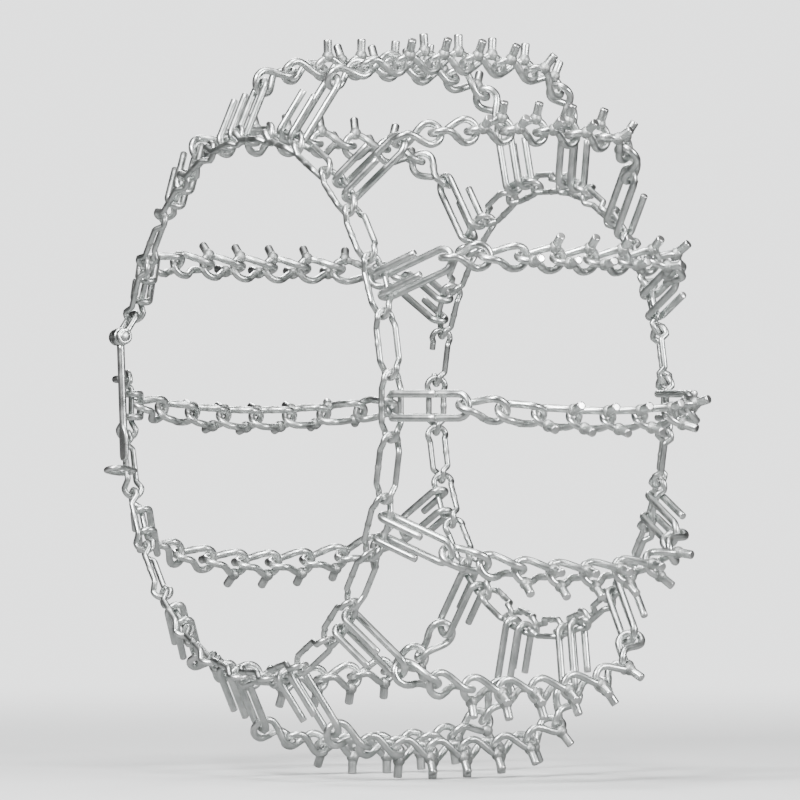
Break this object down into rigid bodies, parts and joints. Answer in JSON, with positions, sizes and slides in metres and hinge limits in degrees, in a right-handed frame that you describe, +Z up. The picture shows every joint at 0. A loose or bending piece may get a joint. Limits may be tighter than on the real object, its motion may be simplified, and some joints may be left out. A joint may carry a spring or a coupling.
{
  "type": "tyre snow chain",
  "caption": "Studded ladder-type tyre chain lying as fitted on a small tyre: two rings of twisted side links, cross chains on double hooks, and a closing lever.",
  "frame": {"origin": "middle of the tyre that the chain is fitted on, on the wheel axis", "axes": "+Y along the wheel axis, away from the outer side chain that carries the closing lever; +Z up on a standing wheel"},
  "size_m": [0.4296, 0.2213, 0.4211],
  "materials": {
    "side_chain_wire": "bright zinc plate",
    "cross_chain_wire": "bright zinc plate",
    "hook_wire": "bright zinc plate",
    "closing_hardware": "bright zinc plate",
    "rivet_steel": "plain steel"
  },
  "bodies": {
    "side_chains": {"outer_side_chain_1": "side_chain_wire", "outer_side_chain_2": "side_chain_wire", "outer_side_chain_3": "side_chain_wire", "outer_side_chain_4": "side_chain_wire", "outer_side_chain_5": "side_chain_wire", "outer_side_chain_6": "side_chain_wire", "outer_side_chain_7": "side_chain_wire", "inner_side_chain_1": "side_chain_wire", "inner_side_chain_2": "side_chain_wire", "inner_side_chain_3": "side_chain_wire", "inner_side_chain_4": "side_chain_wire", "inner_side_chain_5": "side_chain_wire", "inner_side_chain_6": "side_chain_wire", "lever_shackle": "closing_hardware", "lever_pin": "rivet_steel"},
    "tension_lever": {"tension_lever": "closing_hardware"},
    "keeper_ring": {"keeper_ring": "closing_hardware"},
    "inner_closing_hook": {"inner_closing_hook": "closing_hardware"},
    "cross_chain_01": {"outer_hook_01": "hook_wire", "cross_links_01": "cross_chain_wire", "inner_hook_01": "hook_wire"},
    "cross_chain_02": {"outer_hook_02": "hook_wire", "cross_links_02": "cross_chain_wire", "inner_hook_02": "hook_wire"},
    "cross_chain_03": {"outer_hook_03": "hook_wire", "cross_links_03": "cross_chain_wire", "inner_hook_03": "hook_wire"},
    "cross_chain_04": {"outer_hook_04": "hook_wire", "cross_links_04": "cross_chain_wire", "inner_hook_04": "hook_wire"},
    "cross_chain_05": {"outer_hook_05": "hook_wire", "cross_links_05": "cross_chain_wire", "inner_hook_05": "hook_wire"},
    "cross_chain_06": {"outer_hook_06": "hook_wire", "cross_links_06": "cross_chain_wire", "inner_hook_06": "hook_wire"},
    "cross_chain_07": {"outer_hook_07": "hook_wire", "cross_links_07": "cross_chain_wire", "inner_hook_07": "hook_wire"},
    "cross_chain_08": {"outer_hook_08": "hook_wire", "cross_links_08": "cross_chain_wire", "inner_hook_08": "hook_wire"},
    "cross_chain_09": {"outer_hook_09": "hook_wire", "cross_links_09": "cross_chain_wire", "inner_hook_09": "hook_wire"},
    "cross_chain_10": {"outer_hook_10": "hook_wire", "cross_links_10": "cross_chain_wire", "inner_hook_10": "hook_wire"},
    "cross_chain_11": {"outer_hook_11": "hook_wire", "cross_links_11": "cross_chain_wire", "inner_hook_11": "hook_wire"},
    "cross_chain_12": {"outer_hook_12": "hook_wire", "cross_links_12": "cross_chain_wire", "inner_hook_12": "hook_wire"},
    "cross_chain_13": {"outer_hook_13": "hook_wire", "cross_links_13": "cross_chain_wire", "inner_hook_13": "hook_wire"},
    "cross_chain_14": {"outer_hook_14": "hook_wire", "cross_links_14": "cross_chain_wire", "inner_hook_14": "hook_wire"}
  },
  "joints": [
    {"name": "tension_lever_hinge", "type": "hinge", "parent": "side_chains", "child": "tension_lever", "pos_m": [-0.14487, -0.10682, 0.03963], "axis": [-0.9976, 0, -0.0698], "range_deg": [0, 140]},
    {"name": "keeper_ring_hinge", "type": "hinge", "parent": "side_chains", "child": "keeper_ring", "pos_m": [-0.14516, -0.10231, -0.03826], "axis": [0.2225, 0, -0.9749], "range_deg": [-35, 50]},
    {"name": "inner_closing_hook_roll", "type": "hinge", "parent": "side_chains", "child": "inner_closing_hook", "pos_m": [-0.12449, 0.0942, 0.02841], "axis": [-0.2225, 0, -0.9749], "range_deg": [-5, 5]},
    {"name": "cross_chain_01_creep", "type": "hinge", "parent": "side_chains", "child": "cross_chain_01", "pos_m": [0.13246, 0.092, 0], "axis": [1, 0, 0], "range_deg": [-0.3, 0.3]},
    {"name": "cross_chain_02_creep", "type": "hinge", "parent": "side_chains", "child": "cross_chain_02", "pos_m": [0.11934, 0.092, 0.05747], "axis": [0.901, 0, 0.4339], "range_deg": [-0.3, 0.3]},
    {"name": "cross_chain_03_creep", "type": "hinge", "parent": "side_chains", "child": "cross_chain_03", "pos_m": [0.08259, 0.092, 0.10356], "axis": [0.6235, 0, 0.7818], "range_deg": [-0.3, 0.3]},
    {"name": "cross_chain_04_creep", "type": "hinge", "parent": "side_chains", "child": "cross_chain_04", "pos_m": [0.02948, 0.092, 0.12914], "axis": [0.2225, 0, 0.9749], "range_deg": [-0.3, 0.3]},
    {"name": "cross_chain_05_creep", "type": "hinge", "parent": "side_chains", "child": "cross_chain_05", "pos_m": [-0.02948, 0.092, 0.12914], "axis": [-0.2225, 0, 0.9749], "range_deg": [-0.3, 0.3]},
    {"name": "cross_chain_06_creep", "type": "hinge", "parent": "side_chains", "child": "cross_chain_06", "pos_m": [-0.08259, 0.092, 0.10356], "axis": [-0.6235, 0, 0.7818], "range_deg": [-0.3, 0.3]},
    {"name": "cross_chain_07_creep", "type": "hinge", "parent": "side_chains", "child": "cross_chain_07", "pos_m": [-0.11934, 0.092, 0.05747], "axis": [-0.901, 0, 0.4339], "range_deg": [-0.3, 0.3]},
    {"name": "cross_chain_08_creep", "type": "hinge", "parent": "side_chains", "child": "cross_chain_08", "pos_m": [-0.13246, 0.092, 0], "axis": [-1, 0, 0], "range_deg": [-0.3, 0.3]},
    {"name": "cross_chain_09_creep", "type": "hinge", "parent": "side_chains", "child": "cross_chain_09", "pos_m": [-0.11934, 0.092, -0.05747], "axis": [-0.901, 0, -0.4339], "range_deg": [-0.3, 0.3]},
    {"name": "cross_chain_10_creep", "type": "hinge", "parent": "side_chains", "child": "cross_chain_10", "pos_m": [-0.08259, 0.092, -0.10356], "axis": [-0.6235, 0, -0.7818], "range_deg": [-0.3, 0.3]},
    {"name": "cross_chain_11_creep", "type": "hinge", "parent": "side_chains", "child": "cross_chain_11", "pos_m": [-0.02948, 0.092, -0.12914], "axis": [-0.2225, 0, -0.9749], "range_deg": [-0.3, 0.3]},
    {"name": "cross_chain_12_creep", "type": "hinge", "parent": "side_chains", "child": "cross_chain_12", "pos_m": [0.02948, 0.092, -0.12914], "axis": [0.2225, 0, -0.9749], "range_deg": [-0.3, 0.3]},
    {"name": "cross_chain_13_creep", "type": "hinge", "parent": "side_chains", "child": "cross_chain_13", "pos_m": [0.08259, 0.092, -0.10356], "axis": [0.6235, 0, -0.7818], "range_deg": [-0.3, 0.3]},
    {"name": "cross_chain_14_creep", "type": "hinge", "parent": "side_chains", "child": "cross_chain_14", "pos_m": [0.11934, 0.092, -0.05747], "axis": [0.901, 0, -0.4339], "range_deg": [-0.3, 0.3]}
  ]
}
